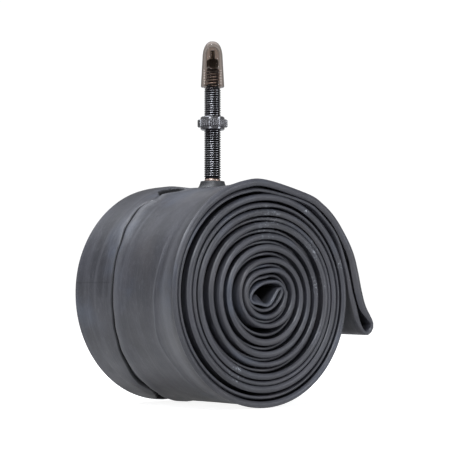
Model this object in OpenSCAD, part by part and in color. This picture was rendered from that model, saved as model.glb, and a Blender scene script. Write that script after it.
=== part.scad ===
// Bicycle inner tube, let down, doubled flat and rolled up, with its threaded needle valve upright.
// Frame: the origin is the middle of the small flat that the roll stands on, +Z runs up the valve,
// the roll's own axis is along Y, the spiral end faces -Y and the folded tail points to +X.

/* [Rolled tube] */
// Width of the flattened tube
flat_w = 59; // [40:1:80]
// Thickness of the flattened tube, its two walls pressed together
band_t = 1.5; // [1.2:0.1:2]
// Gap between neighbouring layers
layer_gap = 0.65; // [0.4:0.05:0.9]
// Turns of the doubled strip
turns = 7.75; // [4:0.25:10]
// Clear radius left in the middle of the roll
core_r = 3.6; // [2.5:0.1:8]
// Half width of the flat that the roll stands on
foot_half = 8; // [5:0.5:10]
// Radius of the loop at the folded tail, to the middle of the strip
tail_loop_r = 3.1; // [2:0.1:4.5]

/* [Valve base] */
// Rubber round the stem at the top of the boss
boss_wall = 1.1; // [0.9:0.1:2]
// How far the boss spreads out at its foot
boss_flare = 1.9; // [1.5:0.1:3]
// Height of the rubber boss
boss_h = 1.95; // [1.6:0.05:4]
// Rubber left under the stem's flange
boss_floor = 0.4; // [0.3:0.05:0.6]

/* [Valve stem] */
// Diameter over the stem's thread
stem_d = 6; // [5:0.1:8]
// Length from the tube to the shoulder under the cap
stem_h = 35.45; // [28:0.05:60]
// How far the flange in the boss stands out past the stem
flange_rim = 0.7; // [0.4:0.05:0.9]
// Thickness of that flange
flange_t = 0.7; // [0.5:0.05:0.9]
// Metal round the bore that takes the core
stem_wall = 0.8; // [0.6:0.05:1]
// Depth of that bore
core_bore_h = 11.5; // [9:0.5:16]
// Ledge at the bottom of that bore, where the core's gasket sits
ledge_w = 0.6; // [0.4:0.05:0.8]

/* [Valve core] */
// How far the stem's shoulder stands out past the core's threaded head
head_step = 0.4; // [0.2:0.1:0.6]
// Height of the core's head
head_h = 6.5; // [5.5:0.5:12]
// Depth of each of the two spanner flats on the head
head_flat = 0.3; // [0.1:0.05:0.5]
// Diameter of the valve pin
pin_d = 1.4; // [1.1:0.1:1.7]
// Pin left above the tip nut
pin_proud = 3.7; // [2:0.1:5]
// How much slimmer the knurled tip nut is than the head
tip_nut_step = 0.5; // [0.4:0.1:1]
// Height of the tip nut
tip_nut_h = 3.3; // [2.4:0.1:4.2]

/* [Rim nut] */
// Height of the rim nut
rim_nut_h = 4.8; // [4:0.1:8]
// Metal round the stem in its plain shoulders
rim_nut_wall = 1.3; // [1:0.1:2]
// How far the ribs of its grip stand out past the shoulders
grip_proud = 1.1; // [0.6:0.1:1.6]
// Height of its grip
grip_h = 2.7; // [2:0.1:3.6]
// Number of ribs round the grip
grip_ribs = 20; // [12:2:28]
// Height of the nut above the boss at rest
rim_nut_lift = 18.3; // [8:0.1:20]

/* [Dust cap] */
// Wall at the cap's mouth
cap_wall = 1.5; // [1.1:0.1:2]
// How much slimmer the cap is where the dome begins
cap_taper = 0.35; // [0:0.05:0.5]
// Free height over the valve pin
cap_room = 1.4; // [0.6:0.1:3]
// Height of the dome
cap_dome_h = 4.8; // [3.5:0.1:6]
// Wall at the dome's crown
cap_crown = 1.5; // [1:0.1:2]

/* [Fits] */
// Radial clearance of pieces that turn or slide on each other
run_clear = 0.08; // [0.05:0.01:0.1]
// Clearance between bonded or screwed pieces that don't move
seat_clear = 0.02; // [0.01:0.01:0.04]

/* [Hidden] */
$fn = 64;
eps = 0.01;

// Roll: the strip's middle line is a doubled spiral, seen from -Y, that winds inward anticlockwise
// from the top. A is the outer strip of each pair and B the inner one.
band_pitch = band_t + layer_gap;
turn_pitch = 2 * band_pitch;
roll_r = core_r + band_t / 2 + band_pitch + turns * turn_pitch;
arc_stations = 12;
turn_stations = 2 * arc_stations;
last_station = floor(turns * turn_stations);
boss_top_r = stem_d / 2 + boss_wall;
boss_foot_r = boss_top_r + boss_flare;
pad_margin = 0.5;
pad_half = boss_foot_r + pad_margin;
pad_angle = asin(pad_half / roll_r);
foot_angle = asin(foot_half / (roll_r - turn_pitch / 2));
roll_z = wind_r(270) * cos(foot_angle) + band_t / 2;
tube_top_z = roll_z + roll_r * cos(pad_angle) + band_t / 2;

// Tail: each row is a direction in degrees and how far the strip lifts off the spiral there
tail_dir = -11.5;
tail_lift = 7.2;
tail_a = [[66, 0.9], [52, 2], [40, 2.7], [28, 3.1], [17, 3.6], [7, 4.3], [-2, 5.8]];
tail_b = [[-3.5, 3.4], [7, 2], [20, 1.2], [35, 0.7], [50, 0.4], [66, 0.1]];

// Levels up the valve
cap_gap = 0.2;
gasket_h = 1.4;
nose_drop = 1.6;
boss_top_z = tube_top_z + boss_h;
flange_z = tube_top_z + boss_floor;
shoulder_z = tube_top_z + stem_h;
head_top_z = shoulder_z + head_h;
core_ledge_z = shoulder_z - core_bore_h;
barrel_end_z = core_ledge_z + gasket_h;
nose_end_z = core_ledge_z - nose_drop;
pin_top_z = head_top_z + tip_nut_h + pin_proud;
cap_z = shoulder_z + cap_gap;
cap_h = pin_top_z + cap_room + cap_crown - cap_z;
rim_nut_z = boss_top_z + rim_nut_lift;

// Radii that follow from the stem, the pin and their clearances
nose_gap = 0.15;
plunger_step = 0.1;
seal_bulge = 0.05;
tip_nut_room = 0.3;
flange_r = stem_d / 2 + flange_rim;
core_bore_r = stem_d / 2 - stem_wall;
air_r = core_bore_r - ledge_w;
head_r = stem_d / 2 - head_step;
barrel_r = core_bore_r - seat_clear;
nose_r = air_r - nose_gap;
core_way_r = pin_d / 2 + run_clear;
plunger_head_r = nose_r - plunger_step;
plunger_head_h = 0.6;
plunger_seal_h = 1;
tip_nut_r = head_r - tip_nut_step;
shoulder_r = stem_d / 2 + rim_nut_wall;
grip_r = shoulder_r + grip_proud;
cap_bore_r = head_r + run_clear;
cap_room_r = tip_nut_r + tip_nut_room;
cap_mouth_r = head_r + cap_wall;

// Spiral radius at a winding angle, counted from the top, where it is 90
function wind_r(angle) = roll_r - turn_pitch * (angle - 90) / 360;

// Direction of a station and the angle that sets its radius: the corners of a flat share one radius
function station_dir(i) =
    let (turn = floor(i / turn_stations), j = i % turn_stations,
         left_step = (180 - pad_angle - foot_angle) / (arc_stations - 1))
    360 * turn + (j < arc_stations
        ? 90 + pad_angle + j * left_step
        : 270 + foot_angle + (j - arc_stations) * left_step);
function station_wind(i) =
    let (turn = floor(i / turn_stations), j = i % turn_stations)
    j == 0 ? 360 * turn + 90
    : j == arc_stations - 1 || j == arc_stations ? 360 * turn + 270
    : j == turn_stations - 1 ? 360 * turn + 450
    : station_dir(i);
function polar(r, angle) = [r * cos(angle), r * sin(angle)];
function spiral_point(i, inset) = polar(wind_r(station_wind(i)) - inset, station_dir(i));
function tail_point(row, inset) = polar(wind_r(row[0]) - inset + row[1], row[0]);

// The closed middle line of the ring: round the tail's loop, in along B, round the inner fold and
// out along A
tail_centre = polar(wind_r(tail_dir) + tail_lift, tail_dir);
fold_a = spiral_point(last_station, 0);
fold_b = spiral_point(last_station, band_pitch);
fold_dir = station_dir(last_station);
ring_path = concat(
    [for (angle = [20 : -25 : -180]) tail_centre + polar(tail_loop_r, angle)],
    [for (row = tail_b) tail_point(row, band_pitch)],
    [polar(wind_r(90) - band_pitch, 90 - pad_angle)],
    [for (i = [0 : last_station]) spiral_point(i, band_pitch)],
    [for (angle = [150 : -30 : 30])
        (fold_a + fold_b) / 2 + polar(band_pitch / 2, fold_dir + angle)],
    [for (i = [last_station : -1 : 0]) spiral_point(i, 0)],
    [polar(wind_r(90), 90 - pad_angle)],
    [for (row = tail_a) tail_point(row, 0)]
);

// The path moved sideways by d, with true corners, so that walls keep their thickness
function unit(v) = v / norm(v);
function left_of(v) = [-v[1], v[0]];
function shifted(path, d) =
    let (n = len(path))
    [for (i = [0 : n - 1])
        let (before = left_of(unit(path[i] - path[(i + n - 1) % n])),
             after = left_of(unit(path[(i + 1) % n] - path[i])))
        path[i] + d * (before + after) / (1 + before * after)];

// A ring or disc on the valve's axis
module ring(outer_r, inner_r, z, h) {
    translate([0, 0, z]) difference() {
        cylinder(r = outer_r, h = h);
        translate([0, 0, -eps]) cylinder(r = inner_r, h = h + 2 * eps);
    }
}

// The rubber ring, pressed flat, doubled and rolled up, with the air hole under the valve
module tube() {
    color([0.2, 0.21, 0.23]) difference() {
        rotate([90, 0, 0]) translate([0, roll_z, -flat_w / 2])
            linear_extrude(height = flat_w) difference() {
                polygon(shifted(ring_path, band_t / 2));
                polygon(shifted(ring_path, -band_t / 2));
            }
        translate([0, 0, tube_top_z - band_t / 2]) cylinder(r = air_r, h = band_t);
    }
}

// Moulded rubber boss, bonded to the tube and round the stem's flange
module valve_base() {
    color([0.24, 0.25, 0.27]) difference() {
        translate([0, 0, tube_top_z]) rotate_extrude() polygon([
            [0, 0], [boss_foot_r, 0], [boss_foot_r, 0.15], [boss_top_r + 0.4 * boss_flare, 0.55],
            [boss_top_r + 0.2 * boss_flare, 1], [boss_top_r, boss_h], [0, boss_h]]);
        translate([0, 0, tube_top_z - eps]) cylinder(r = air_r, h = boss_h);
        translate([0, 0, flange_z]) cylinder(r = flange_r + seat_clear, h = flange_t + seat_clear);
        translate([0, 0, flange_z]) cylinder(d = stem_d + 2 * seat_clear, h = boss_h);
    }
}

// Metal stem: flange, threaded shank and stepped bore
module valve_stem() {
    color([0.3, 0.3, 0.31]) difference() {
        union() {
            translate([0, 0, flange_z]) cylinder(r = flange_r, h = flange_t);
            translate([0, 0, flange_z]) cylinder(d = stem_d, h = shoulder_z - flange_z);
        }
        translate([0, 0, flange_z - eps]) cylinder(r = air_r, h = stem_h);
        translate([0, 0, core_ledge_z]) cylinder(r = core_bore_r, h = core_bore_h + eps);
    }
}

// Core: head with two flats, barrel in the stem's bore and a nose that the valve pin closes
module core_body() {
    color("goldenrod") difference() {
        union() {
            translate([0, 0, shoulder_z + seat_clear]) intersection() {
                cylinder(r = head_r, h = head_h - seat_clear);
                translate([-2 * head_r, head_flat - head_r, 0])
                    cube([4 * head_r, 2 * (head_r - head_flat), head_h]);
            }
            translate([0, 0, barrel_end_z])
                cylinder(r = barrel_r, h = shoulder_z + 2 * seat_clear - barrel_end_z);
            translate([0, 0, nose_end_z]) cylinder(r = nose_r, h = barrel_end_z - nose_end_z + eps);
        }
        translate([0, 0, nose_end_z - eps])
            cylinder(r = core_way_r, h = head_top_z - nose_end_z + 2 * eps);
    }
}

// Gasket between the core's barrel and the ledge in the stem
module core_seal() {
    color("white")
        ring(barrel_r, nose_r + seat_clear, core_ledge_z + seat_clear,
             barrel_end_z - core_ledge_z - 2 * seat_clear);
}

// Valve pin with the head that carries its seal
module plunger() {
    seal_z = nose_end_z - plunger_seal_h;
    color("gold") union() {
        translate([0, 0, seal_z - plunger_head_h])
            cylinder(r = plunger_head_r, h = plunger_head_h - seat_clear);
        translate([0, 0, seal_z - plunger_head_h])
            cylinder(d = pin_d, h = pin_top_z - seal_z + plunger_head_h);
    }
}

// Rubber washer on the pin that shuts against the core's nose
module plunger_seal() {
    color([0.1, 0.1, 0.1])
        ring(plunger_head_r + seal_bulge, pin_d / 2 + seat_clear, nose_end_z - plunger_seal_h,
             plunger_seal_h - seat_clear);
}

// Knurled nut that locks the pin shut on the core's head
module tip_nut() {
    knurls = 16;
    knurl = 0.3;
    color("gold") difference() {
        ring(tip_nut_r, pin_d / 2 + run_clear, head_top_z + seat_clear, tip_nut_h - seat_clear);
        for (i = [0 : knurls - 1]) rotate([0, 0, i * 360 / knurls])
            translate([tip_nut_r, 0, head_top_z - eps]) rotate([0, 0, 45])
                cube([knurl, knurl, 2 * tip_nut_h + 2 * eps], center = true);
    }
}

// Ribbed nut that clamps the valve to the rim
module rim_nut() {
    rib_w = PI * grip_r / grip_ribs;
    groove_r = shoulder_r + grip_proud / 2 + 0.1;
    color([0.2, 0.2, 0.21]) difference() {
        translate([0, 0, rim_nut_z]) union() {
            cylinder(r = shoulder_r, h = rim_nut_h);
            translate([0, 0, (rim_nut_h - grip_h) / 2]) {
                cylinder(r = groove_r, h = grip_h);
                intersection() {
                    cylinder(r = grip_r, h = grip_h);
                    for (i = [0 : grip_ribs / 2 - 1]) rotate([0, 0, i * 360 / grip_ribs])
                        translate([-2 * grip_r, -rib_w / 2, 0]) cube([4 * grip_r, rib_w, grip_h]);
                }
            }
        }
        translate([0, 0, rim_nut_z - eps])
            cylinder(r = stem_d / 2 + run_clear, h = rim_nut_h + 2 * eps);
    }
}

// Clear dust cap: a slim cup with a pointed dome, open below
module dust_cap() {
    wall_h = cap_h - cap_dome_h;
    neck_r = cap_mouth_r - cap_taper;
    dome = [for (a = [0 : 15 : 75]) [neck_r * pow(cos(a), 1.25), wall_h + cap_dome_h * sin(a)]];
    color([0.5, 0.45, 0.42]) difference() {
        translate([0, 0, cap_z]) rotate_extrude() polygon(concat(
            [[0, 0], [cap_mouth_r - 0.2, 0], [cap_mouth_r, 0.3], [cap_mouth_r, 1.6]], dome,
            [[0, cap_h]]));
        translate([0, 0, cap_z - eps]) cylinder(r = cap_bore_r, h = head_top_z - cap_z + 0.3);
        translate([0, 0, cap_z - eps]) cylinder(r = cap_room_r, h = cap_h - cap_crown);
    }
}

tube();
valve_base();
valve_stem();
core_body();
core_seal();
plunger();
plunger_seal();
tip_nut();
rim_nut();
dust_cap();
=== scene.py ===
"""Looks of a rolled bicycle inner tube with its threaded valve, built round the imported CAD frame.

Lengths are in millimetres and become metres when a mesh is made, except where a comment says metres.
The roll's axis is along Y, the spiral end faces -Y and the valve points up +Z.
"""
import math

import bmesh
import bpy
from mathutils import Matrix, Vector


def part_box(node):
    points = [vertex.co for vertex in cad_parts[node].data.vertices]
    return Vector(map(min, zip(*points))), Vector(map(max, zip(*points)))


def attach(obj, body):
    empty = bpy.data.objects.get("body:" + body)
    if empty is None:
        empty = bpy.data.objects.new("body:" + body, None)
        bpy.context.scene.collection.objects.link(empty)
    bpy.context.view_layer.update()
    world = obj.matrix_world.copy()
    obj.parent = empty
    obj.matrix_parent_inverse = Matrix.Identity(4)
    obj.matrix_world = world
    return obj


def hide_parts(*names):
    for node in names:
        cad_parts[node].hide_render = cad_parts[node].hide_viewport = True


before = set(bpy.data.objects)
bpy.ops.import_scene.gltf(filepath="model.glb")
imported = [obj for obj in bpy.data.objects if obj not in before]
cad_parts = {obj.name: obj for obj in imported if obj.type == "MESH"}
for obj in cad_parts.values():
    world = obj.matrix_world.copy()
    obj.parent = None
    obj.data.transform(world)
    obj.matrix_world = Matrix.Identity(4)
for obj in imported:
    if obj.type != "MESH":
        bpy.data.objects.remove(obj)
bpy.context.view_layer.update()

MM = 0.001
TURN = 2 * math.pi


# ---------------------------------------------------------------- small helpers
def lerp(a, b, t):
    """Value between a and b, a at t = 0 and b at t = 1."""
    return a + (b - a) * t


def smooth(low, high, x):
    """0 below low, 1 above high and a soft step between."""
    t = max(0.0, min(1.0, (x - low) / (high - low)))
    return t * t * (3 - 2 * t)


def table(rows, x):
    """Value at x of a short table of (x, value) rows, with soft joins."""
    if x <= rows[0][0]:
        return rows[0][1]
    for (x0, v0), (x1, v1) in zip(rows, rows[1:]):
        if x <= x1:
            return lerp(v0, v1, smooth(x0, x1, x))
    return rows[-1][1]


def hump(x, middle, half):
    """1 at the middle, falling to 0 at half away on both sides."""
    return 1 - smooth(0, half, abs(x - middle))


def catmull(p0, p1, p2, p3, t):
    """Catmull-Rom curve between p1 and p2."""
    return 0.5 * (
        2 * p1
        + (p2 - p0) * t
        + (2 * p0 - 5 * p1 + 4 * p2 - p3) * t * t
        + (3 * p1 - p0 - 3 * p2 + p3) * t ** 3
    )


def polar(r, degrees):
    """Two coordinates of a point at radius r and the given direction."""
    angle = math.radians(degrees)
    return r * math.cos(angle), r * math.sin(angle)


def make_mesh(name, vertices, faces, smooth_angle=None):
    """Object from vertices in millimetres. Edges sharper than smooth_angle degrees stay sharp."""
    mesh = bpy.data.meshes.new(name)
    mesh.from_pydata([Vector(v) * MM for v in vertices], [], faces)
    mesh.validate()
    mesh.polygons.foreach_set("use_smooth", [True] * len(mesh.polygons))
    if smooth_angle:
        mesh.set_sharp_from_angle(angle=math.radians(smooth_angle))
    piece = bpy.data.objects.new(name, mesh)
    bpy.context.scene.collection.objects.link(piece)
    return piece


def grid_faces(rows, columns, close_rows=False, close_columns=True):
    """Quads of a grid whose vertices run row by row."""
    faces = []
    for i in range(rows if close_rows else rows - 1):
        for j in range(columns if close_columns else columns - 1):
            i2 = (i + 1) % rows
            j2 = (j + 1) % columns
            faces.append((i * columns + j, i * columns + j2, i2 * columns + j2, i2 * columns + j))
    return faces


def lathe(name, outline, radius_at=None, around=96, smooth_angle=35):
    """Closed solid of revolution round Z through an outline of (radius, z) points.

    An outline that starts and ends on the axis is capped there. radius_at(radius, z, angle) may
    change a radius for ribs, flats and knurls.
    """
    inner = [p for p in outline if p[0] > 0]
    capped = outline[0][0] == 0
    vertices = []
    for r, z in inner:
        for k in range(around):
            angle = TURN * k / around
            radius = radius_at(r, z, angle) if radius_at else r
            vertices.append((radius * math.cos(angle), radius * math.sin(angle), z))
    faces = grid_faces(len(inner), around, close_rows=not capped)
    if capped:
        vertices.append((0, 0, outline[0][1]))
        vertices.append((0, 0, outline[-1][1]))
        last_row = (len(inner) - 1) * around
        for k in range(around):
            faces.append((len(vertices) - 2, (k + 1) % around, k))
            faces.append((len(vertices) - 1, last_row + k, last_row + (k + 1) % around))
    piece = make_mesh(name, vertices, faces, smooth_angle)
    face_outward(piece)
    return piece


def face_outward(piece):
    """Turns every face of a closed mesh outward."""
    work = bmesh.new()
    work.from_mesh(piece.data)
    bmesh.ops.recalc_face_normals(work, faces=work.faces)
    work.to_mesh(piece.data)
    work.free()


def arc(centre_r, centre_z, radius, start, end, count):
    """Points of an arc in the (radius, z) plane, from start to end in degrees."""
    return [
        (centre_r + radius * math.cos(math.radians(a)), centre_z + radius * math.sin(math.radians(a)))
        for a in (start + (end - start) * k / (count - 1) for k in range(count))
    ]


# ---------------------------------------------------------------- levels taken from the frame
def low(node):
    """Lowest corner of a node's CAD box."""
    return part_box(node)[0] / MM


def high(node):
    """Highest corner of a node's CAD box."""
    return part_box(node)[1] / MM


HALF_WIDTH = high("tube").y
TUBE_TOP = low("valve_base").z
BOSS_TOP = high("valve_base").z
STEM_R = 3.0
SHOULDER = high("valve_stem").z
HEAD_TOP = high("core_body").z
PIN_TOP = high("plunger").z
ROLL_R = 38.0
AXIS_Z = TUBE_TOP - ROLL_R

# ---------------------------------------------------------------- camera, lights and floor
CAMERA_DISTANCE = 600.0
SENSOR_WIDTH = 36
TO_CAMERA = Vector((-0.647, -0.763, 0)).normalized()
TO_RIGHT = Vector((-TO_CAMERA.y, TO_CAMERA.x, 0))
# How far the picture's middle lies right of the valve and above the roll's axis, and the height it shows
FRAME_RIGHT = 4.46
FRAME_UP = 24.3
VIEW_HEIGHT = 160.7

LIGHT_TINT = (0.91, 0.94, 1.0)
# Name, place in metres, diameter in metres and power in watts
SOFTBOXES = [
    ("softbox_top", (-0.45, -0.15, 1.1), 0.4, 14.0),
    ("softbox_front", (-0.7, -0.95, 0.95), 0.25, 11.0),
    ("softbox_back", (-0.35, 0.6, 1.1), 0.8, 6.0),
]
SOFTBOX_AIM = (0, 0, 0.05)
# Narrow upright lights that draw bright lines along the valve: name, direction in degrees and power
STRIPS = [("strip_left", -154, 4.0), ("strip_right", -64, 5.5)]
STRIP_DISTANCE = 1.1
STRIP_WIDTH = 0.13
STRIP_HEIGHT = 0.9
STRIP_MIDDLE_Z = 0.3
STRIP_AIM = (0, 0, 0.1)

# Strength of the background's and the floor's own light: on the object, and as the camera sees it
WORLD_STRENGTH = (0.34, 1.05)
FLOOR_GLOW = (0.3, 0.9)
FLOOR_REACH = 3000
FLOOR_Z = -0.05
FLOOR_GREY = (0.45, 0.45, 0.45, 1)
WHITE = (1, 1, 1, 1)


def make_camera():
    """Camera at the photo's angle and distance."""
    data = bpy.data.cameras.new("camera")
    camera = bpy.data.objects.new("camera", data)
    bpy.context.scene.collection.objects.link(camera)
    data.sensor_width = SENSOR_WIDTH
    data.lens = SENSOR_WIDTH * CAMERA_DISTANCE / VIEW_HEIGHT
    data.clip_start = 0.01
    data.clip_end = 20
    target = TO_RIGHT * FRAME_RIGHT + Vector((0, 0, AXIS_Z + FRAME_UP))
    place = TO_RIGHT * FRAME_RIGHT + TO_CAMERA * CAMERA_DISTANCE + Vector((0, 0, AXIS_Z))
    camera.location = place * MM
    camera.rotation_euler = (target - place).to_track_quat("-Z", "Y").to_euler()
    bpy.context.scene.camera = camera


def area_light(name, place, aim, size, power):
    """Area light at a place in metres, aimed at another."""
    data = bpy.data.lights.new(name, "AREA")
    data.size = size
    data.energy = power
    data.color = LIGHT_TINT
    light = bpy.data.objects.new(name, data)
    bpy.context.scene.collection.objects.link(light)
    light.location = place
    light.rotation_euler = (Vector(aim) - Vector(place)).to_track_quat("-Z", "Y").to_euler()
    return data


def make_lights():
    """Soft boxes over and round the object, and narrow strips for the highlights on metal."""
    for name, place, size, power in SOFTBOXES:
        data = area_light(name, place, SOFTBOX_AIM, size, power)
        data.shape = "DISK"
    for name, degrees, power in STRIPS:
        x, y = polar(STRIP_DISTANCE, degrees)
        data = area_light(name, (x, y, STRIP_MIDDLE_Z), STRIP_AIM, STRIP_WIDTH, power)
        data.shape = "RECTANGLE"
        data.size_y = STRIP_HEIGHT


def set_strength(tree, socket, strengths):
    """Gives a strength socket one value for the light it casts and another as the camera sees it."""
    rays = tree.nodes.new("ShaderNodeLightPath")
    choice = tree.nodes.new("ShaderNodeMapRange")
    choice.inputs["To Min"].default_value = strengths[0]
    choice.inputs["To Max"].default_value = strengths[1]
    tree.links.new(rays.outputs["Is Camera Ray"], choice.inputs["Value"])
    tree.links.new(choice.outputs["Result"], socket)


def make_studio():
    """White background, soft lights and a plain white floor."""
    scene = bpy.context.scene
    scene.view_settings.view_transform = "Standard"
    world = bpy.data.worlds.new("studio")
    scene.world = world
    world.use_nodes = True
    background = world.node_tree.nodes["Background"]
    background.inputs["Color"].default_value = WHITE
    set_strength(world.node_tree, background.inputs["Strength"], WORLD_STRENGTH)
    make_lights()
    corners = ((-1, -1), (1, -1), (1, 1), (-1, 1))
    floor_points = [(x * FLOOR_REACH, y * FLOOR_REACH, FLOOR_Z) for x, y in corners]
    floor = make_mesh("floor", floor_points, [(0, 1, 2, 3)])
    material = new_material("floor_white")
    shader = principled(material)
    shader.inputs["Base Color"].default_value = FLOOR_GREY
    shader.inputs["Roughness"].default_value = 0.9
    shader.inputs["Specular IOR Level"].default_value = 0.0
    shader.inputs["Emission Color"].default_value = WHITE
    set_strength(material.node_tree, shader.inputs["Emission Strength"], FLOOR_GLOW)
    floor.data.materials.append(material)


# ---------------------------------------------------------------- materials
def new_material(name):
    """Empty node material."""
    material = bpy.data.materials.new(name)
    material.use_nodes = True
    return material


def principled(material):
    """Principled shader linked to the output."""
    return material.node_tree.nodes["Principled BSDF"]


class Nodes:
    """Short calls for building one material's node tree."""

    def __init__(self, material):
        self.tree = material.node_tree
        self.shader = principled(material)
        self.place = self.tree.nodes.new("ShaderNodeTexCoord").outputs["Object"]

    def link(self, source, target):
        """Joins an output to an input."""
        self.tree.links.new(source, target)

    def attribute(self, name, output="Vector"):
        """A value that the mesh carries."""
        node = self.tree.nodes.new("ShaderNodeAttribute")
        node.attribute_name = name
        return node.outputs[output]

    def noise(self, scale, detail=3.0, roughness=0.55, stretch=(1, 1, 1), shift=(0, 0, 0), place=None):
        """Noise texture read at a vector."""
        mapping = self.tree.nodes.new("ShaderNodeMapping")
        mapping.inputs["Scale"].default_value = stretch
        mapping.inputs["Location"].default_value = shift
        self.link(place or self.place, mapping.inputs["Vector"])
        node = self.tree.nodes.new("ShaderNodeTexNoise")
        node.inputs["Scale"].default_value = scale
        node.inputs["Detail"].default_value = detail
        node.inputs["Roughness"].default_value = roughness
        self.link(mapping.outputs["Vector"], node.inputs["Vector"])
        return node.outputs["Fac"]

    def band(self, value, low_in, high_in, low_out=0.0, high_out=1.0):
        """Soft step from low_out to high_out."""
        node = self.tree.nodes.new("ShaderNodeMapRange")
        node.interpolation_type = "SMOOTHSTEP"
        self.link(value, node.inputs["Value"])
        node.inputs["From Min"].default_value = low_in
        node.inputs["From Max"].default_value = high_in
        node.inputs["To Min"].default_value = low_out
        node.inputs["To Max"].default_value = high_out
        return node.outputs["Result"]

    def math(self, operation, *values):
        """Result of a math node. Each value is a number or another node's output."""
        node = self.tree.nodes.new("ShaderNodeMath")
        node.operation = operation
        for socket, value in zip(node.inputs, values):
            if isinstance(value, (int, float)):
                socket.default_value = value
            else:
                self.link(value, socket)
        return node.outputs["Value"]

    def mix(self, factor, first, second):
        """Blend of two colours. Each is a tuple or another node's output."""
        node = self.tree.nodes.new("ShaderNodeMix")
        node.data_type = "RGBA"
        self.link(factor, node.inputs["Factor"])
        for socket, value in ((node.inputs[6], first), (node.inputs[7], second)):
            if isinstance(value, tuple):
                socket.default_value = (*value, 1)
            else:
                self.link(value, socket)
        return node.outputs[2]

    def over(self, colour, mask, strength, tint):
        """Colour with a tint laid over it where the mask is 1, at the given strength."""
        return self.mix(self.math("MULTIPLY", mask, strength), colour, tint)

    def near(self, centre, radius):
        """1 near a point given in millimetres, 0 beyond radius."""
        node = self.tree.nodes.new("ShaderNodeVectorMath")
        node.operation = "DISTANCE"
        self.link(self.place, node.inputs[0])
        node.inputs[1].default_value = Vector(centre) * MM
        return self.band(node.outputs["Value"], radius * MM, 0.3 * radius * MM)

    def bump(self, height, strength, distance):
        """Bump from a height."""
        node = self.tree.nodes.new("ShaderNodeBump")
        node.inputs["Strength"].default_value = strength
        node.inputs["Distance"].default_value = distance
        self.link(height, node.inputs["Height"])
        self.link(node.outputs["Normal"], self.shader.inputs["Normal"])

    def axes(self):
        """The object's own X, Y and Z in metres."""
        node = self.tree.nodes.new("ShaderNodeSeparateXYZ")
        self.link(self.place, node.inputs["Vector"])
        return node.outputs


# Painted shade: near-black laid into the pleat and on the insides of the middle fold and of the tail's loop
FOLD_SHADE_BLACK = (0.003, 0.003, 0.004)
SPLICE_LINE = (0.006, 0.006, 0.007)
# Painted shade for the grooves of a thread
THREAD_GROOVE_SHADE = (0.02, 0.02, 0.022)
# The two colours that each material is mottled between
BUTYL = ((0.018, 0.0185, 0.023), (0.032, 0.0325, 0.040))
MOULDED = ((0.008, 0.0085, 0.010), (0.016, 0.017, 0.020))
SEAL = ((0.02, 0.02, 0.02), (0.035, 0.035, 0.035))
BLACKENED = ((0.16, 0.16, 0.168), (0.24, 0.24, 0.25))
CORE_METAL = ((0.2, 0.175, 0.16), (0.34, 0.3, 0.28))
BRASS = ((0.34, 0.255, 0.215), (0.44, 0.34, 0.29))
TARNISHED = ((0.03, 0.026, 0.022), (0.07, 0.058, 0.048))
SMOKED = ((0.68, 0.59, 0.54), (0.86, 0.77, 0.715))
# Painted shade round the cap's outline
SMOKED_OUTLINE_SHADE = (0.13, 0.12, 0.115)

# Middle and radius of each patch of talc on the spiral end, with places given from the roll's axis
TALC_PATCHES = [
    (23.8, 3, 5.0), (22.8, -12, 3.5), (0.5, 24.5, 8.0), (35.0, 10, 2.2), (18.0, 28.5, 2.0),
    (-14.0, -27, 5.0), (21.5, 15, 5.0),
]
# Middle and radius of a painted highlight: a lighter cloudy patch on the roll's top, left of and in front of
# the valve
SHEEN_PATCH_MIDDLE = (-14, -14, AXIS_Z + 35)
SHEEN_PATCH_RADIUS = 17
# Height of the ring's splice line, how thick it is and where on the left of the roll it shows
SPLICE_Z = AXIS_Z + 3.7
SPLICE_CORE = 0.1
SPLICE_FADE = 0.35
SPLICE_LEFT_OF = -34
SPLICE_BEHIND = 8


def rubber_material(name, colours, roughness):
    """Plain moulded rubber with soft mottling and a fine grain."""
    material = new_material(name)
    n = Nodes(material)
    mottle = n.band(n.noise(220, 4, 0.6), 0.35, 0.7)
    n.link(n.mix(mottle, *colours), n.shader.inputs["Base Color"])
    sheen = n.band(n.noise(300, 3), 0.3, 0.7, roughness - 0.05, roughness + 0.07)
    n.link(sheen, n.shader.inputs["Roughness"])
    n.bump(n.noise(2600, 2, 0.6), 0.12, 0.0002)
    return material


def talc_mask(n):
    """Fine specks inside the talc patches."""
    spread = None
    for x, z, radius in TALC_PATCHES:
        patch = n.near((x, -HALF_WIDTH, AXIS_Z + z), radius)
        spread = patch if spread is None else n.math("MAXIMUM", spread, patch)
    return n.math("MULTIPLY", n.band(n.noise(1100, 4, 0.75), 0.55, 0.68), spread)


def splice_mask(n):
    """Thin level line across the rear part of the strip, where the ring was joined."""
    x, y, z = n.axes()
    away = n.math("ABSOLUTE", n.math("SUBTRACT", z, SPLICE_Z * MM))
    line = n.band(away, SPLICE_FADE * MM, SPLICE_CORE * MM)
    line = n.math("MULTIPLY", line, n.band(x, SPLICE_LEFT_OF * MM, (SPLICE_LEFT_OF - 1) * MM))
    return n.math("MULTIPLY", line, n.band(y, SPLICE_BEHIND * MM, (SPLICE_BEHIND + 2) * MM))


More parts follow.
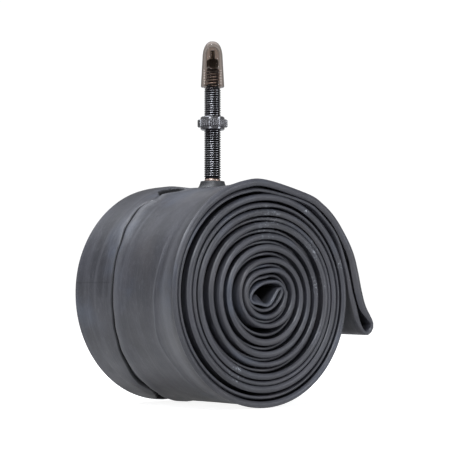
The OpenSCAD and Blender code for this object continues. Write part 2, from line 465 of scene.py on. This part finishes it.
def butyl_material():
    """The tube's butyl: streaks along the strip, bluish stains, dust and specks of talc, with painted
    highlights on its ridges and near the valve and painted black shade in its folds.

    The mesh carries its own coordinates: "strip" is the place along and across the strip, another
    attribute is 1 inside folds, where shade is painted black, and a third is 1 on ridges, where a
    highlight is painted lighter.
    """
    material = new_material("butyl")
    n = Nodes(material)
    strip = n.attribute("strip")
    fold_shade = n.attribute("fold_shade", "Fac")
    ridge_highlight = n.attribute("ridge_highlight", "Fac")
    mottle = n.band(n.noise(0.045, 4, 0.6, stretch=(0.5, 1.6, 1), place=strip), 0.35, 0.68)
    streak = n.band(n.noise(0.3, 3, 0.6, stretch=(0.06, 1.6, 1), place=strip), 0.45, 0.75)
    stain = n.band(n.noise(0.05, 3, 0.55, stretch=(0.8, 1, 1), shift=(31, 7, 3), place=strip), 0.54, 0.74)
    warm = n.band(n.noise(0.04, 3, 0.5, stretch=(0.8, 1.2, 1), shift=(5, 19, 8), place=strip), 0.52, 0.75)
    grime = n.band(n.noise(1.1, 5, 0.7, stretch=(0.35, 1, 1), place=strip), 0.5, 0.72)
    cloud = n.band(n.noise(90, 4, 0.6), 0.35, 0.65, 0.25, 1)
    sheen_patch = n.math("MULTIPLY", n.near(SHEEN_PATCH_MIDDLE, SHEEN_PATCH_RADIUS), cloud)
    colour = n.mix(mottle, *BUTYL)
    colour = n.over(colour, streak, 0.5, (0.062, 0.063, 0.072))
    colour = n.over(colour, stain, 0.5, (0.046, 0.056, 0.080))
    colour = n.over(colour, warm, 0.4, (0.050, 0.046, 0.048))
    # Painted highlight: lighter along the ridges the mesh marks, the bead behind the front edge, the mould
    # line and the lip beside the pleat
    colour = n.over(colour, ridge_highlight, 0.6, (0.11, 0.112, 0.122))
    colour = n.over(colour, grime, 0.3, (0.080, 0.082, 0.092))
    colour = n.over(colour, talc_mask(n), 0.8, (0.34, 0.36, 0.39))
    # Painted highlight: the lighter cloudy patch near the valve
    colour = n.over(colour, sheen_patch, 0.55, (0.105, 0.105, 0.112))
    colour = n.over(colour, splice_mask(n), 0.35, SPLICE_LINE)
    # Painted shade: black wherever the mesh marks a fold
    colour = n.mix(fold_shade, colour, FOLD_SHADE_BLACK)
    n.link(colour, n.shader.inputs["Base Color"])
    sheen = n.band(n.noise(0.12, 3, place=strip), 0.3, 0.7, 0.40, 0.50)
    n.link(n.math("MAXIMUM", sheen, fold_shade), n.shader.inputs["Roughness"])
    n.shader.inputs["Specular IOR Level"].default_value = 0.5
    coarse = n.math("MULTIPLY", n.noise(0.5, 4, 0.6, place=strip), 1.5)
    n.bump(n.math("ADD", n.noise(2600, 2, 0.6), coarse), 0.16, 0.0002)
    return material


def metal_material(name, colours, roughness):
    """Metal, a little brighter where it is worn, with shade painted dark down in the grooves of a thread."""
    material = new_material(name)
    n = Nodes(material)
    n.shader.inputs["Metallic"].default_value = 1.0
    rub_and_highlight = n.band(n.noise(250, 3, 0.6), 0.45, 0.75)
    groove = n.attribute("groove", "Fac")
    # Painted shade: dark colour down in the thread's grooves
    n.link(n.mix(groove, n.mix(rub_and_highlight, *colours), THREAD_GROOVE_SHADE), n.shader.inputs["Base Color"])
    n.shader.inputs["Roughness"].default_value = roughness
    return material


def smoked_plastic():
    """Brown smoked clear plastic with faint moulding streaks along the cap and shade painted darker round
    its outline.
    """
    material = new_material("smoked_plastic")
    n = Nodes(material)
    n.shader.inputs["Transmission Weight"].default_value = 1.0
    n.shader.inputs["IOR"].default_value = 1.12
    streak = n.band(n.noise(900, 2, 0.5, stretch=(1, 1, 0.04)), 0.4, 0.7)
    # Painted shade: the colour darkens where the surface turns away from view, round the cap's outline
    facing_weight = n.tree.nodes.new("ShaderNodeLayerWeight")
    facing_weight.inputs["Blend"].default_value = 0.5
    edge = n.band(facing_weight.outputs["Facing"], 0.35, 0.8, 0.0, 0.9)
    n.link(n.mix(edge, n.mix(streak, *SMOKED), SMOKED_OUTLINE_SHADE), n.shader.inputs["Base Color"])
    gloss = n.band(n.noise(500, 2, 0.5, stretch=(1, 1, 0.1)), 0.3, 0.7, 0.02, 0.07)
    n.link(gloss, n.shader.inputs["Roughness"])
    return material


# ---------------------------------------------------------------- the roll's path, seen from -Y
# Distance of the middle of each strip from the roll's axis at the top, left, bottom and right of
# each turn. A is the outer strip of each pair, B the inner one.
TOP_A = [37.8, 33.0, 27.8, 23.5, 19.5, 15.6, 11.2, 7.6]
LEFT_A = [40.0, 34.0, 29.3, 24.7, 20.5, 16.8, 12.0, 9.5]
BOTTOM_A = [38.2, 33.1, 28.7, 24.6, 21.2, 17.0, 11.4, 8.3]
RIGHT_A = [37.0, 32.1, 28.0, 23.5, 19.9, 16.4, 12.8, 9.2]
TOP_B = [35.1, 30.3, 25.4, 21.4, 17.5, 13.5, 9.4, 5.5]
LEFT_B = [38.1, 31.7, 27.0, 22.6, 18.7, 14.4, 10.7, 8.2]
BOTTOM_B = [35.7, 31.0, 26.5, 22.9, 19.1, 14.4, 9.9]
RIGHT_B = [34.5, 30.0, 25.7, 21.7, 18.1, 14.6, 10.9]
# How far each turn of B is set back from the roll's face at its left and right, and the share of that
# at its top and bottom
SET_BACK_B = [0.5, 0.4, 2.6, 2.8, 2.8, 2.4, 2.2, 0.8]
SET_BACK_SHARE = 0.45
# Half the thickness of the strips' rounded edges: each turn of B, the least there is on A and its core,
# and the most on A, first for its first quarter turn
EDGE_HALF_B = [0.6, 0.9, 0.62, 0.6, 0.6, 0.6, 0.55, 0.5]
THIN_EDGE = 0.62
THICK_EDGES = (1.55, 1.3)
EDGE_SHARE_OF_PITCH = 0.3
INNERMOST_PITCH = 3.2

# The tail: strip A leaves the roll, loops and comes back up as strip B. Rows of x, z and half the
# thickness of the edge
TAIL = [
    (19.2, 33.7, 1.5), (26.2, 30.6, 1.5), (32.3, 25.8, 1.6), (38.0, 18.6, 1.75), (41.2, 13.0, 1.85),
    (43.2, 6.7, 2.05), (44.9, 0.3, 2.05), (46.9, -5.1, 1.9), (49.5, -8.6, 1.2), (51.2, -11.1, 0.8),
    (50.7, -13.3, 0.8), (48.6, -14.6, 0.8), (46.3, -13.5, 0.85), (44.1, -9.9, 1.1), (42.5, -5.1, 1.35),
    (40.5, 0.5, 1.15), (38.5, 8.0, 0.9), (33.8, 19.3, 0.7), (26.9, 26.6, 0.6), (18.3, 31.7, 0.6),
]
# Middle line of the inner fold, from strip B on the left of its last turn to strip A on the right
CORE = [
    (-8.3, -2.2), (-6.9, -4.2), (-4.4, -5.4), (-1.3, -6.0), (1.8, -5.4), (4.2, -3.9), (6.2, -1.8),
    (7.3, 0.4), (7.0, 1.7), (6.1, 1.7), (5.0, 0.6), (3.8, -1.2), (2.5, -3.0), (0.9, -4.2),
    (-0.9, -4.3), (-3.4, -3.9), (-5.9, -3.4), (-7.1, -2.6), (-7.2, -1.1), (-6.0, 0.7),
    (-4.0, 2.2), (-1.3, 3.4), (1.8, 3.9), (4.8, 3.9), (7.0, 2.9), (8.6, 0.9),
]
STEPS_A_QUARTER = 6
# Distance between the mesh's rows along the strip, and how many times finer they are on the outer turn
PATH_STEP = 1.6
FINER_OUTSIDE = 2.5
CURVE_STEPS = 8


class Station:
    """One place along the ring of rubber.

    Its middle is at x and z, and edge is half the thickness of its rounded edge, which lies set_back
    behind the roll's face. outer is 1 on the turn that shows round the roll, and loop is 1 in the
    tail's loop.
    """

    def __init__(self, x, z, edge, set_back, outer, loop=0.0):
        self.x = x
        self.z = z
        self.edge = edge
        self.set_back = set_back
        self.outer = outer
        self.loop = loop

    def values(self):
        return self.x, self.z, self.edge, self.set_back, self.outer, self.loop


def quarter_values(tops, lefts, bottoms, rights):
    """The four tables as one list that follows the strip inward."""
    values = []
    for k in range(len(tops)):
        for column in (tops, lefts, bottoms, rights):
            if k < len(column):
                values.append(column[k])
    return values


def radius_at_quarter(radii, q):
    """Radius of a strip after q quarter turns."""
    i = max(0, min(len(radii) - 2, int(q)))
    before = radii[i - 1] if i > 0 else 2 * radii[0] - radii[1]
    after = radii[i + 2] if i + 2 < len(radii) else 2 * radii[-1] - radii[-2]
    return catmull(before, radii[i], radii[i + 1], after, q - i)


def spiral_a():
    """Stations of strip A from the top of the first turn inward."""
    radii = quarter_values(TOP_A, LEFT_A, BOTTOM_A, RIGHT_A)
    stations = []
    for i in range((len(radii) - 1) * STEPS_A_QUARTER + 1):
        q = i / STEPS_A_QUARTER
        r = radius_at_quarter(radii, q)
        inward = radius_at_quarter(radii, q + 4) if q + 4 <= len(radii) - 1 else r - INNERMOST_PITCH
        thickest = THICK_EDGES[0] if q < 1 else THICK_EDGES[1]
        edge = max(THIN_EDGE, min(thickest, EDGE_SHARE_OF_PITCH * (r - inward)))
        uneven = 0.15 * math.sin(1.7 * q)
        outer = 1 - smooth(3.6, 4.0, q)
        x, z = polar(r, 90 + 90 * q)
        stations.append(Station(x, z, edge, uneven, outer))
    return stations


def spiral_b():
    """Stations of strip B from the top of the first turn inward."""
    radii = quarter_values(TOP_B, LEFT_B, BOTTOM_B, RIGHT_B)
    stations = []
    for i in range((len(radii) - 1) * STEPS_A_QUARTER + 1):
        q = i / STEPS_A_QUARTER
        turn = min(int(q / 4), len(SET_BACK_B) - 1)
        side = abs(math.cos(math.radians(90 + 90 * q)))
        set_back = SET_BACK_B[turn] * lerp(SET_BACK_SHARE, 1, side)
        x, z = polar(radius_at_quarter(radii, q), 90 + 90 * q)
        stations.append(Station(x, z, EDGE_HALF_B[turn], set_back, 0))
    return stations


def tail_stations():
    """Stations of the tail, from strip A round the loop to strip B."""
    stations = []
    for k, (x, z, edge) in enumerate(TAIL):
        outer = 1 - smooth(0.35, 0.5, k / (len(TAIL) - 1))
        loop = 1 - smooth(-8.5, -6.0, z)
        stations.append(Station(x, z, edge, 0, outer, loop))
    return stations


def core_stations():
    """Stations of the fold in the middle of the roll."""
    return [Station(x, z, THIN_EDGE, 0.2, 0) for x, z in CORE]


def ring_stations():
    """The whole closed ring, with its stations closer together on the outer turn."""
    control = tail_stations() + spiral_b() + core_stations() + spiral_a()[::-1]
    n = len(control)
    values = [s.values() for s in control]
    fine = []
    for i in range(n):
        around = [values[(i + j - 1) % n] for j in range(4)]
        for k in range(CURVE_STEPS):
            t = k / CURVE_STEPS
            x, z = (catmull(*(p[c] for p in around), t) for c in (0, 1))
            rest = (lerp(around[1][c], around[2][c], t) for c in (2, 3, 4, 5))
            fine.append((x, z, *rest))
    lengths = []
    for i in range(len(fine)):
        length = math.dist(fine[i][:2], fine[(i + 1) % len(fine)][:2])
        lengths.append(length * lerp(1, FINER_OUTSIDE, fine[i][4]))
    total = sum(lengths)
    count = round(total / PATH_STEP)
    stations = []
    i = 0
    run = 0.0
    for s in range(count):
        wanted = s * total / count
        while run + lengths[i] < wanted:
            run += lengths[i]
            i += 1
        t = (wanted - run) / lengths[i]
        ahead = fine[(i + 1) % len(fine)]
        stations.append(Station(*(lerp(a, b, t) for a, b in zip(fine[i], ahead))))
    return stations


# ---------------------------------------------------------------- the roll's shape along its width
# How far the top of the roll lies lower than at its front edge, along Y
SAG = [
    (-29.5, 0), (-26, -0.6), (-17, 0.6), (-10, 0.9), (0, 0.9), (9, 0.7), (14, 0.3), (20, -0.5),
    (26, -0.4), (29.5, 0.5),
]
# Where the pleat runs: angle in degrees round the roll, and its place along Y
PLEAT = [
    (90, 7.5), (98, 6.5), (104, 4.8), (107, 5.2), (112, 11), (119, 8.8), (128, 11), (141, 9.8),
    (155, 7.8), (176, 6.8), (190, 7.1), (201, 8.1), (212, 9.3), (232, 10.3), (243, 10.9), (254, 13.4),
    (265, 16),
]
# How wide the pleat gapes and how deep it goes, by the same angle
PLEAT_WIDTH = [
    (96, 3), (100, 9), (104, 11), (107, 10.5), (112.5, 1), (124, 1.1), (132, 1), (170, 0.9), (205, 1),
    (218, 1.8), (236, 4), (244, 2.2), (250, 3.2), (256, 6), (262, 10), (270, 10), (278, 0.6),
]
PLEAT_DEPTH = [
    (95, 0), (99, 1.2), (111, 1.5), (114, 0.1), (119, 0.1), (124, 1.4), (205, 1.4), (236, 1.9),
    (262, 1.9), (285, 0.9), (300, 0),
]
LIP_LIFT = 0.45
# Where the fine mould line runs, by angle and place along Y, and how high it stands
MOULD_LINE = [(140, -18), (162, -17.1), (187, -15.4), (204, -13.8), (225, -15.6), (240, -17)]
MOULD_HEIGHT = 0.14
FRONT_BEAD_HEIGHT = 0.3
# How far the inner fold's lower wall rises behind its front edge, along X
FLAP = [(-7.2, 0.4), (-6.1, 1.4), (-3.9, 3.3), (-2, 1.9), (0.6, 0)]
# Half the thickness of the strip between its edges
BODY_HALF = 0.7
OUTER_R = 39.0


def direction(x, z):
    """Angle round the roll's axis in degrees: 90 at the top, 180 at the left."""
    return math.degrees(math.atan2(z, x)) % 360


def pleated(station, angle):
    """1 on the part of the outer turn where the pleat runs, 0 elsewhere."""
    return station.outer * smooth(88, 96, angle) * (1 - smooth(288, 300, angle))


def inward_shift(x, z, y):
    """How far the rubber lies nearer to the axis at y than at the front edge."""
    r = math.hypot(x, z)
    angle = direction(x, z)
    share = (r / OUTER_R) ** 1.5
    top = max(0.0, math.sin(math.radians(angle)))
    shift = table(SAG, y) * lerp(0.25, 1, top ** 2) * share
    left = max(0.0, -math.cos(math.radians(angle)))
    flare = 1.7 * left ** 0.7 * smooth(36, 40, r) * smooth(-HALF_WIDTH + 0.8, -24.3, y)
    return shift + flare


# Rows of the outer side that carry the bead behind the front edge and the mould line
BEAD_ROW = 1
MOULD_ROW = 4


def columns(pleat_y, mould_y):
    """Places along Y of the points on the strip's outer side, front to rear."""
    front = -HALF_WIDTH + 3.0
    rear = HALF_WIDTH - 3.0
    near_mould = [mould_y - 0.45, mould_y, mould_y + 0.45]
    before = [front, lerp(front, mould_y, 0.4), mould_y - 2.5] + near_mould + [mould_y + 2.5]
    start = pleat_y - 6
    middle = [lerp(mould_y + 2.5, start, t) for t in (0.34, 0.67)]
    lip = [start, pleat_y - 4, pleat_y - 2.6, pleat_y - 1.6, pleat_y - 0.8, pleat_y - 0.3]
    return before, middle, lip, rear


def outer_side(station, angle):
    """(y, height, painted shade, painted highlight) rows of the strip's outer side, with the pleat on the
    first turn.
    """
    on = pleated(station, angle)
    pleat_y = lerp(8, table(PLEAT, angle), on)
    mould_y = lerp(-16, table(MOULD_LINE, angle), on)
    width = lerp(0.6, table(PLEAT_WIDTH, angle), on)
    depth = table(PLEAT_DEPTH, angle) * on
    fold = on * smooth(0.2, 0.9, depth)
    lift = LIP_LIFT * lerp(0.35 * on, on, fold) * smooth(108, 124, angle)
    # Painted highlight on the lip beside the pleat, strongest nearest the valve
    rub_and_highlight = on * (0.9 - 0.45 * smooth(120, 145, angle))
    before, middle, lip, rear = columns(pleat_y, mould_y)
    rows = [[y, 0.0, 0.0, 0.0] for y in before]
    in_sight = on * smooth(146, 158, angle) * (1 - smooth(226, 240, angle))
    bead = station.outer * smooth(140, 155, angle) * (1 - smooth(235, 250, angle))
    bead_highlight = station.outer * smooth(120, 150, angle) * (1 - smooth(235, 260, angle))
    # The bead and the mould line stand up a little and carry a painted highlight
    rows[BEAD_ROW][1:] = [FRONT_BEAD_HEIGHT * bead, 0.0, 0.5 * bead_highlight]
    rows[MOULD_ROW][1:] = [MOULD_HEIGHT * in_sight, 0.0, 0.75 * in_sight]
    rows += [[y, 0.0, 0.0, 0.0] for y in middle]
    for y in lip:
        near_lip = smooth(-4.5, -1.2, y - pleat_y)
        rows.append([y, lift * near_lip, 0.0, near_lip * rub_and_highlight])
    rows[-1] = [lip[-1], lift * 0.85, 0.15 * fold, 0.6 * rub_and_highlight]
    far = pleat_y + 0.45 + width
    # The pleat's groove is marked for painted black shade
    rows.append([pleat_y, lift - min(0.5, depth), fold, 0.0])
    rows.append([pleat_y - 0.3 * fold + 0.05, -0.75 * depth, fold, 0.0])
    rows.append([pleat_y + 0.12, -depth, fold, 0.0])
    rows.append([far - 0.1, -depth, fold, 0.0])
    rows.append([far, -0.5 * depth, fold, 0.0])
    rows.append([far + 0.3, -0.12 * depth, 0.6 * fold, 0.0])
    rows.append([far + 0.65, -0.04 * depth, 0.0, 0.25 * on])
    rows.append([far + 2.5, 0.0, 0.0, 0.0])
    rows.append([lerp(far + 2.5, rear, 0.5), 0.0, 0.0, 0.0])
    rows.append([rear, 0.0, 0.0, 0.0])
    return rows


# Places along Y of the points on the strip's inner side, rear to front, and how far that side is
# pushed in under the pleat
INNER_SIDE = [26.5, 20, 13, 6, 0, -6, -13, -20, -24, -25.5, -27]
PLEAT_BULGE = 1.1
PLEAT_BULGE_REACH = 11
# Places round the rounded edges, and the least height of the rubber over the floor
EDGE_ANGLES = [60, 30, 0, -30, -60]
FLOOR_CLEARANCE = 0.02


def crest(degrees):
    """Makes the rounded edge a little sharper at its middle."""
    return 1.06 - 0.1 * abs(math.sin(math.radians(degrees)))


def section(station, angle):
    """Closed outline of the strip across its width: (y, height over the middle line, painted shade, painted
    highlight).
    """
    half = BODY_HALF * min(1.0, station.edge / THIN_EDGE)
    edge = station.edge
    front_y = -HALF_WIDTH + station.set_back + edge
    rear_y = HALF_WIDTH - 0.6 * station.set_back - edge
    points = []
    for y, height, fold_shade, ridge_highlight in outer_side(station, angle):
        points.append((y, half + height, fold_shade, ridge_highlight))
    for a in EDGE_ANGLES:
        x, z = polar(edge, a)
        points.append((rear_y + x * crest(a), z, 0.0, 0.0))
    on = pleated(station, angle)
    pleat_y = table(PLEAT, angle)
    for y in INNER_SIDE:
        bulge = PLEAT_BULGE * on * hump(y, pleat_y + 1, PLEAT_BULGE_REACH)
        points.append((y, -half - bulge, 0.0, 0.0))
    for a in EDGE_ANGLES[::-1]:
        x, z = polar(edge, a)
        points.append((front_y - x * crest(a), z, 0.0, 0.0))
    return points


def store(piece, name, kind, field, values):
    """Keeps one value for each vertex in a named attribute."""
    attribute = piece.data.attributes.new(name, kind, "POINT")
    attribute.data.foreach_set(field, values)


def make_roll():
    """The rubber ring, pressed flat, doubled and rolled up.

    Shade is painted black on the insides of the middle fold and of the tail's loop behind the roll's face.
    """
    stations = ring_stations()
    count = len(stations)
    vertices = []
    strip = []
    fold_shades = []
    ridge_highlights = []
    columns_a_row = 0
    run = 0.0
    for i, s in enumerate(stations):
        before = stations[i - 1]
        run += math.dist((s.x, s.z), (before.x, before.z))
        after = stations[(i + 1) % count]
        along = Vector((after.x - before.x, after.z - before.z)).normalized()
        out = Vector((-along.y, along.x))
        angle = direction(s.x, s.z)
        outline = section(s, angle)
        columns_a_row = len(outline)
        radial = Vector((s.x, s.z)).normalized()
        core = 1 - smooth(5.5, 7.5, math.hypot(s.x, s.z))
        on_flap = core if -4.6 < s.z < -2.4 and s.x < 0.6 else 0.0
        dark_from = -HALF_WIDTH + (3.5 if on_flap else 1.6)
        for y, height, fold_shade, ridge_highlight in outline:
            shift = inward_shift(s.x, s.z, y)
            x = s.x + out.x * height - radial.x * shift
            z = s.z + out.y * height - radial.y * shift
            z += on_flap * table(FLAP, s.x) * smooth(-HALF_WIDTH, -HALF_WIDTH + 2.6, y)
            # Painted shade: below the middle line, the insides of the middle fold and of the tail's loop are
            # marked black behind the roll's face
            if height < 0:
                fold_shade = max(fold_shade, max(core, s.loop) * smooth(dark_from, dark_from + 3.5, y))
            z = max(z, FLOOR_CLEARANCE - AXIS_Z)
            vertices.append((x, y, z + AXIS_Z))
            strip.append((run, y, height))
            fold_shades.append(fold_shade)
            ridge_highlights.append(ridge_highlight)
    roll = make_mesh("rolled_tube", vertices, grid_faces(count, columns_a_row, close_rows=True), 50)
    face_outward(roll)
    store(roll, "strip", "FLOAT_VECTOR", "vector", [value for point in strip for value in point])
    store(roll, "fold_shade", "FLOAT", "value", fold_shades)
    store(roll, "ridge_highlight", "FLOAT", "value", ridge_highlights)
    roll.data.materials.append(butyl_material())
    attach(roll, "tube_and_stem")
    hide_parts("tube")


# ---------------------------------------------------------------- valve
THREAD_PITCH = 0.8
THREAD_DEPTH = 0.4
CORE_THREAD_PITCH = 1.06
CORE_THREAD_DEPTH = 0.35
# Height of a thread along one pitch: 1 at its crest, 0 in its groove
THREAD_PROFILE = [1.0, 1.0, 0.95, 0.6, 0.1, 0.0, 0.15, 0.65]


def threaded_rod(name, r, z0, z1, pitch, depth, flat=None, around=64):
    """Rod with a helical thread, tapered at each end and, if asked, with two flats.

    The rows of the mesh climb with the thread, so that its crest is a clean line. The attribute
    "groove" goes from 0 on the crest to 1 in the groove.
    """
    per_pitch = len(THREAD_PROFILE)
    pitches = math.ceil((z1 - z0) / pitch) + 1
    rows = pitches * per_pitch

    def vertex(i, k):
        climb = z0 - pitch + pitch * (i / per_pitch + k / around)
        z = max(z0, min(z1, climb))
        taper = min(1.0, (min(z - z0, z1 - z) + 0.01) / pitch)
        radius = r - depth * (1 - THREAD_PROFILE[i % per_pitch] * taper)
        x, y = polar(radius, 360 * k / around)
        if flat:
            y = max(-flat, min(flat, y))
        return x, y, z

    vertices = [vertex(i, k) for i in range(rows + 1) for k in range(around)]
    faces = []
    for i in range(rows):
        for k in range(around - 1):
            a = i * around + k
            faces.append((a, a + 1, a + around + 1, a + around))
    for i in range(rows - per_pitch):
        a = i * around + around - 1
        b = (i + per_pitch) * around
        faces.append((a, b, b + around, a + around))
    middle = len(vertices)
    vertices += [(0, 0, z0), (0, 0, z1)]
    last = rows * around
    for k in range(around - 1):
        faces.append((middle, k + 1, k))
        faces.append((middle + 1, last + k, last + k + 1))
    piece = make_mesh(name, vertices, faces)
    weld(piece)
    piece.data.set_sharp_from_angle(angle=math.radians(50))
    depths = [1 - (math.hypot(v.co.x, v.co.y) / MM - r + depth) / depth for v in piece.data.vertices]
    store(piece, "groove", "FLOAT", "value", [smooth(0.05, 0.5, d) for d in depths])
    return piece


def weld(piece):
    """Joins vertices that share a place and closes what is left open."""
    work = bmesh.new()
    work.from_mesh(piece.data)
    bmesh.ops.remove_doubles(work, verts=work.verts, dist=0.002 * MM)
    open_edges = [e for e in work.edges if len(e.link_faces) == 1]
    bmesh.ops.holes_fill(work, edges=open_edges)
    bmesh.ops.recalc_face_normals(work, faces=work.faces)
    work.to_mesh(piece.data)
    work.free()


def make_boss(material):
    """Moulded rubber boss that spreads out into the tube."""
    top_r = 4.1
    z = TUBE_TOP
    outline = [
        (0, z - 2.2), (8.0, z - 2.2), (7.4, z - 1.6), (6.4, z - 1.1), (5.5, z - 0.65), (5.0, z - 0.1),
        (4.7, z + 0.5), (4.4, z + 1.3),
    ]
    outline += arc(top_r - 0.05, BOSS_TOP - 0.3, 0.3, 0, 90, 4)
    outline += [(3.3, BOSS_TOP + 0.02), (3.05, BOSS_TOP - 0.15), (0, BOSS_TOP - 0.15)]
    boss = lathe("valve_boss", outline, smooth_angle=60)
    boss.data.materials.append(material)
    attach(boss, "tube_and_stem")
    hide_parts("valve_base")


def make_stem(dark, brass):
    """Threaded stem and the bare ring at its foot."""
    z0 = BOSS_TOP + 0.55
    stem = threaded_rod("threaded_stem", STEM_R, z0, SHOULDER, THREAD_PITCH, THREAD_DEPTH)
    stem.data.materials.append(dark)
    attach(stem, "tube_and_stem")
    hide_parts("valve_stem")
    ring_r = 2.85
    ring_top = BOSS_TOP + 0.85
    outline = [
        (0, BOSS_TOP - 1.2), (ring_r, BOSS_TOP - 1.2), (ring_r, ring_top - 0.35),
        (ring_r - 0.25, ring_top), (0, ring_top),
    ]
    ring = lathe("stem_foot_ring", outline)
    ring.data.materials.append(brass)
    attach(ring, "tube_and_stem")


def make_core(dark, brass):
    """Threaded head of the valve core, the pin in it and the knurled nut on the pin."""
    head_r = STEM_R - 0.4
    head_foot = SHOULDER - 0.3
    head = threaded_rod(
        "core_head", head_r, head_foot, HEAD_TOP, CORE_THREAD_PITCH, CORE_THREAD_DEPTH, flat=head_r - 0.15
    )
    head.data.materials.append(dark)
    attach(head, "tube_and_stem")
    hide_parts("core_body")
    pin_r = 0.78
    pin_foot = low("plunger").z
    outline = [(0, pin_foot), (pin_r, pin_foot), (pin_r, PIN_TOP - 0.35)]
    outline += arc(pin_r - 0.3, PIN_TOP - 0.3, 0.3, 0, 90, 5)
    outline.append((0, PIN_TOP))
    pin = lathe("valve_pin_rod", outline, around=32)
    pin.data.materials.append(brass)
    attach(pin, "valve_pin")
    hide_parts("plunger")

    nut_r = high("tip_nut").x
    nut_bore = pin_r + 0.08
    knurls = 18
    knurl_depth = 0.16

    def knurl(r, z, angle):
        if r > nut_r - 0.25:
            return r - knurl_depth * abs(math.sin(knurls / 2 * angle))
        return r

    z0 = low("tip_nut").z
    z1 = high("tip_nut").z + 0.5
    outline = [
        (nut_bore, z0), (nut_r - 0.4, z0), (nut_r, z0 + 0.4), (nut_r, z1 - 0.5), (nut_r - 0.45, z1),
        (nut_bore, z1),
    ]
    nut = lathe("tip_nut_knurled", outline, knurl, around=144)
    nut.data.materials.append(brass)
    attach(nut, "tip_nut")
    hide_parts("tip_nut")


def make_rim_nut(dark):
    """Nut with chamfered plain shoulders and a finely ribbed grip band."""
    z0 = low("rim_nut").z
    z1 = high("rim_nut").z
    grip_r = high("rim_nut").x
    body_r = grip_r - 1.1
    bore = STEM_R + 0.08
    grip_z0 = (z0 + z1) / 2 - 1.35
    grip_z1 = (z0 + z1) / 2 + 1.35
    chamfer = 0.32
    edge = 0.25
    ribs = 40
    rib_depth = 0.28

    def rib(r, z, angle):
        if r > grip_r - 0.4:
            return r - rib_depth * (0.5 - 0.5 * math.cos(ribs * angle)) ** 2
        return r

    outline = [
        (bore + edge, z0), (body_r - chamfer, z0), (body_r, z0 + chamfer), (body_r, grip_z0),
        (grip_r - 0.3, grip_z0), (grip_r, grip_z0 + edge), (grip_r, grip_z1 - edge), (grip_r - 0.3, grip_z1),
        (body_r, grip_z1), (body_r, z1 - chamfer), (body_r - chamfer, z1), (bore + edge, z1),
        (bore, z1 - edge), (bore, z0 + edge),
    ]
    nut = lathe("ribbed_rim_nut", outline, rib, around=320, smooth_angle=30)
    nut.data.materials.append(dark)
    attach(nut, "rim_nut")
    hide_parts("rim_nut")


def make_cap(material):
    """Smoked clear cap: slightly tapered cup with a pointed dome and fine rings inside its mouth."""
    z0 = low("dust_cap").z
    z1 = high("dust_cap").z + 0.4
    mouth_r = high("dust_cap").x + 0.08
    neck_r = mouth_r - 0.55
    dome = 6.2
    dome_fullness = 0.78
    wall_top = z1 - dome
    around = 96
    outline = [
        (mouth_r - 0.35, z0), (mouth_r - 0.08, z0 + 0.12), (mouth_r, z0 + 0.4), (mouth_r - 0.12, z0 + 3),
    ]
    for degrees in range(0, 90, 9):
        a = math.radians(degrees)
        outline.append((neck_r * math.cos(a) ** dome_fullness, wall_top + dome * math.sin(a)))
    outline.append((0.25, z1 - 0.01))
    inner_r = 2.75
    room = z1 - 1.9
    outline_in = [
        (0.3, room), (1.0, room - 0.2), (1.8, room - 0.9), (2.35, room - 2.2), (2.5, HEAD_TOP + 0.6),
    ]
    rings = 7
    ring_depth = 0.22
    for k in range(rings * 2):
        z = lerp(HEAD_TOP + 0.5, z0 + 0.7, k / (rings * 2 - 1))
        outline_in.append((inner_r + (ring_depth if k % 2 else 0.0), z))
    outline_in.append((inner_r + 0.35, z0))
    cap = lathe("smoked_cap", outline + outline_in, around=around, smooth_angle=50)
    fill_hole_at_top(cap, around, len(outline) - 1, len(outline))
    cap.data.materials.append(material)
    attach(cap, "dust_cap")
    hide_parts("dust_cap")


def fill_hole_at_top(piece, around, outer_row, inner_row):
    """Replaces the thin tunnel between two rows of a lathe by two flat ends."""
    work = bmesh.new()
    work.from_mesh(piece.data)
    work.verts.ensure_lookup_table()
    outer = [work.verts[outer_row * around + k] for k in range(around)]
    inner = [work.verts[inner_row * around + k] for k in range(around)]
    rows = set(outer) | set(inner)
    tunnel = [f for f in work.faces if all(v in rows for v in f.verts)]
    bmesh.ops.delete(work, geom=tunnel, context="FACES_ONLY")
    work.faces.new(outer)
    work.faces.new(inner)
    bmesh.ops.recalc_face_normals(work, faces=work.faces)
    work.to_mesh(piece.data)
    work.free()


def dress_hidden_nodes():
    """Better materials for the two seals, which keep their CAD shape."""
    seal = rubber_material("seal_rubber", SEAL, 0.6)
    for node in ("core_seal", "plunger_seal"):
        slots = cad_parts[node].data.materials
        if len(slots):
            slots[0] = seal
        else:
            slots.append(seal)


make_camera()
make_studio()
make_roll()
black_metal = metal_material("dark_metal", BLACKENED, 0.26)
core_metal = metal_material("core_metal", CORE_METAL, 0.3)
bare_brass = metal_material("brass", BRASS, 0.38)
dark_brass = metal_material("tarnished_brass", TARNISHED, 0.35)
make_boss(rubber_material("moulded_rubber", MOULDED, 0.52))
make_stem(black_metal, bare_brass)
make_core(core_metal, dark_brass)
make_rim_nut(black_metal)
make_cap(smoked_plastic())
dress_hidden_nodes()
